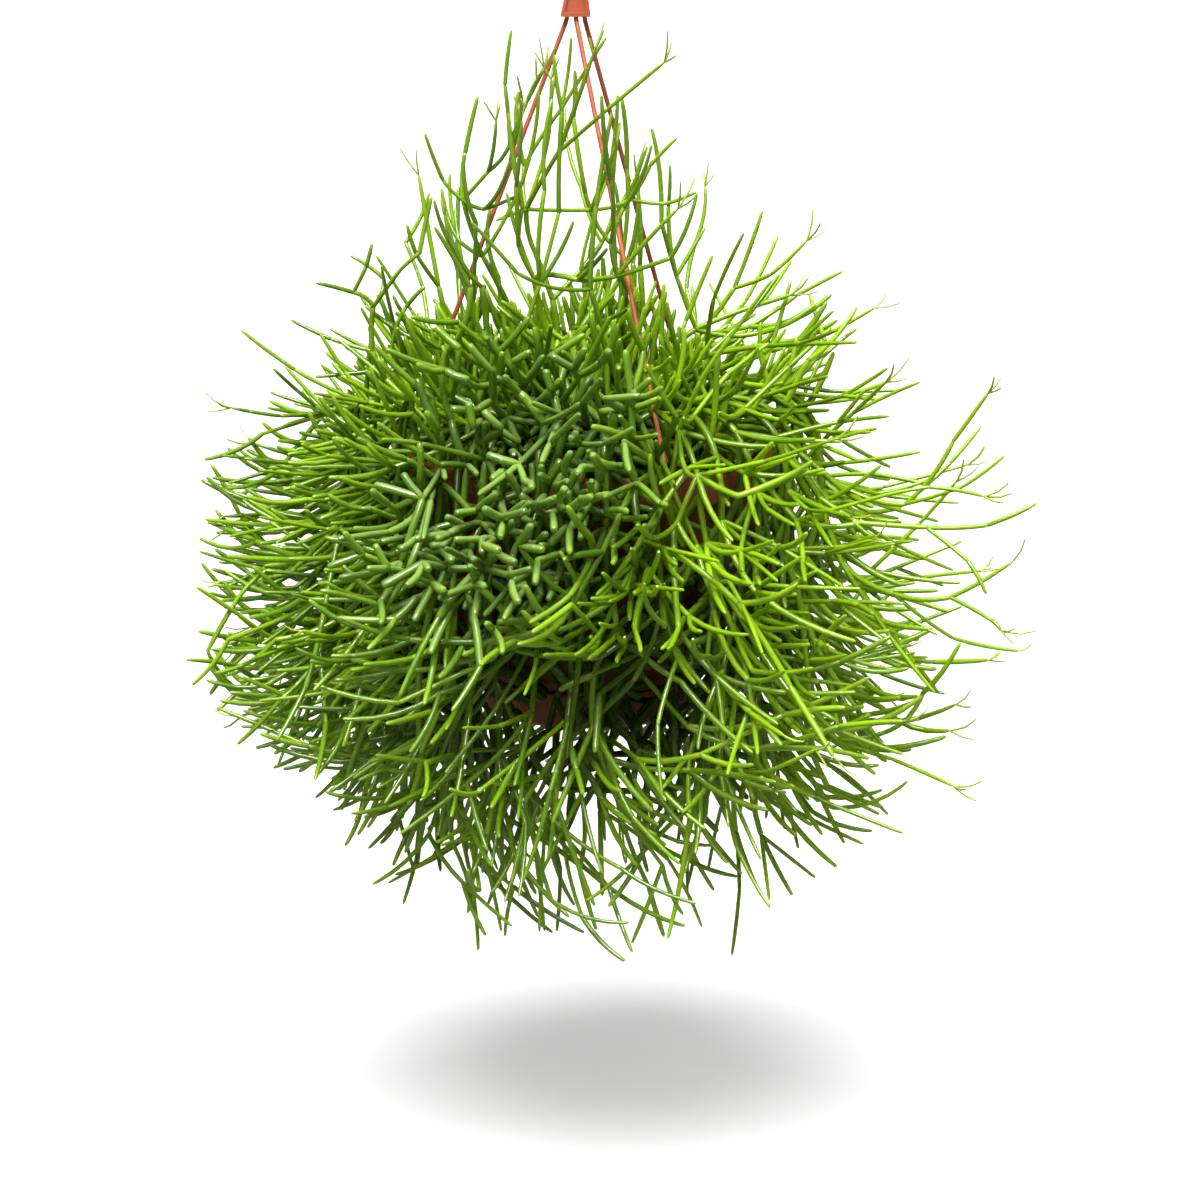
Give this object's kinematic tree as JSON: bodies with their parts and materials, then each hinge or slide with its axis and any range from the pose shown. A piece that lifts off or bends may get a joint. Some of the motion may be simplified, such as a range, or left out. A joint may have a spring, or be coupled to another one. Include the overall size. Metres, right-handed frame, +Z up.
{
  "type": "potted rhipsalis heteroclada",
  "caption": "Hanging potted Rhipsalis heteroclada: a dense ball of jointed round green stems in a terracotta-coloured plastic pot with saucer and three-strand hanger",
  "frame": {"origin": "inner top of the hook's bow, the point that rests on whatever the plant hangs from", "axes": "+Z up, -Y towards the front of the picture; the pot's axis is parallel to Z and 6 mm towards +X"},
  "size_m": [0.382, 0.3636, 0.5119],
  "materials": {
    "stems": "satin",
    "pot": "satin",
    "hanger": "satin",
    "soil": "matte"
  },
  "bodies": {
    "root": {"hanger_hook": "hanger", "strand_left": "hanger", "strand_front": "hanger", "strand_back": "hanger", "pot": "pot", "saucer": "pot", "soil": "soil", "spray_crown_tall": "stems", "spray_crown_left": "stems", "spray_crown_low": "stems", "spray_left_spike": "stems", "spray_left_fork": "stems", "spray_right_high": "stems", "spray_right_long": "stems", "spray_right_low": "stems", "spray_top_right": "stems", "spray_01": "stems", "spray_02": "stems", "spray_03": "stems", "spray_04": "stems", "spray_05": "stems", "spray_06": "stems", "spray_07": "stems", "spray_08": "stems", "spray_09": "stems", "spray_10": "stems", "spray_11": "stems", "spray_12": "stems", "spray_13": "stems", "spray_14": "stems", "spray_15": "stems", "spray_16": "stems", "spray_17": "stems", "spray_18": "stems", "spray_19": "stems", "spray_20": "stems", "spray_21": "stems", "spray_22": "stems", "spray_23": "stems", "spray_24": "stems", "spray_25": "stems", "spray_26": "stems", "spray_27": "stems", "spray_28": "stems", "spray_29": "stems", "spray_30": "stems", "spray_31": "stems", "spray_32": "stems", "spray_33": "stems", "spray_34": "stems", "spray_35": "stems", "spray_36": "stems", "spray_37": "stems", "spray_38": "stems", "spray_39": "stems", "spray_40": "stems", "spray_41": "stems", "spray_42": "stems", "spray_43": "stems"}
  },
  "joints": []
}
